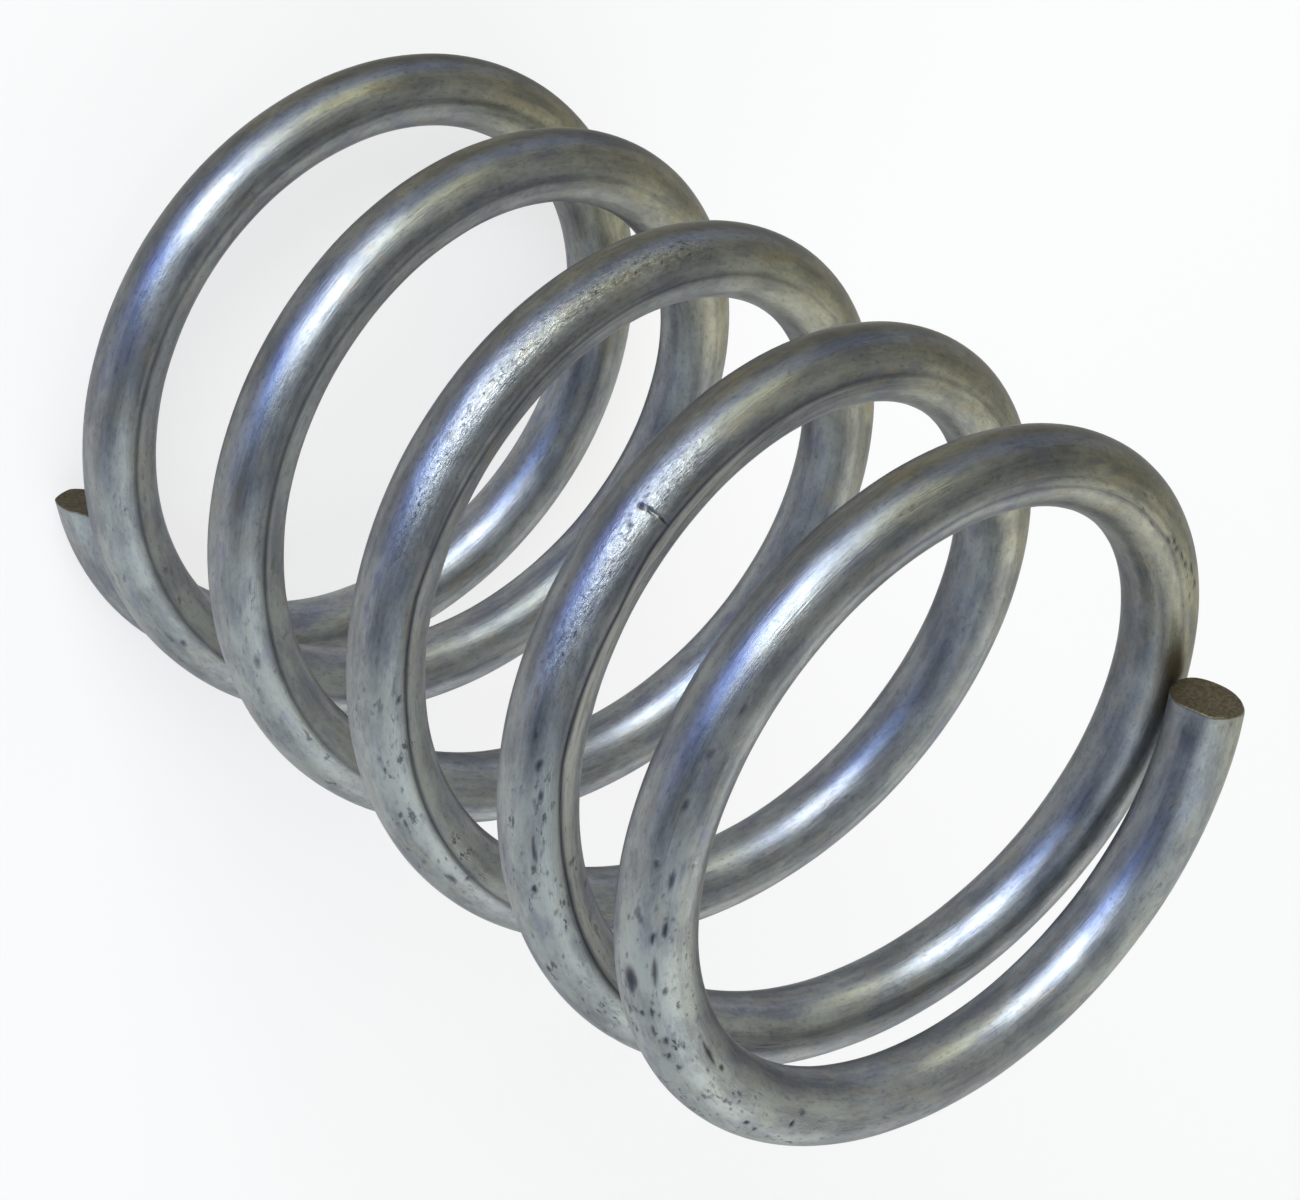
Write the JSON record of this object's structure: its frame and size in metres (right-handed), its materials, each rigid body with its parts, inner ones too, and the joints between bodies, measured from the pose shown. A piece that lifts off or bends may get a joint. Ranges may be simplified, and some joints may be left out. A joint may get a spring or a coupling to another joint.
{
  "type": "coil spring",
  "caption": "Short round-wire compression spring with closed, unground ends; it presses a drum brake shoe flat against its backing plate.",
  "frame": {"origin": "centre of the lower end, on the coil's axis, at the height of the spring's lowest point", "axes": "+Z along the coil's axis to the upper end; +X from the axis to the lower cut tip; the wire climbs anticlockwise seen from above, a right-hand coil"},
  "size_m": [0.0174, 0.0174, 0.0255],
  "materials": {
    "wire": "zinc-plated drawn steel wire, satin with fine draw lines, small pits and a few scuffs"
  },
  "bodies": {
    "root": {"coil_spring": "wire"}
  },
  "joints": []
}
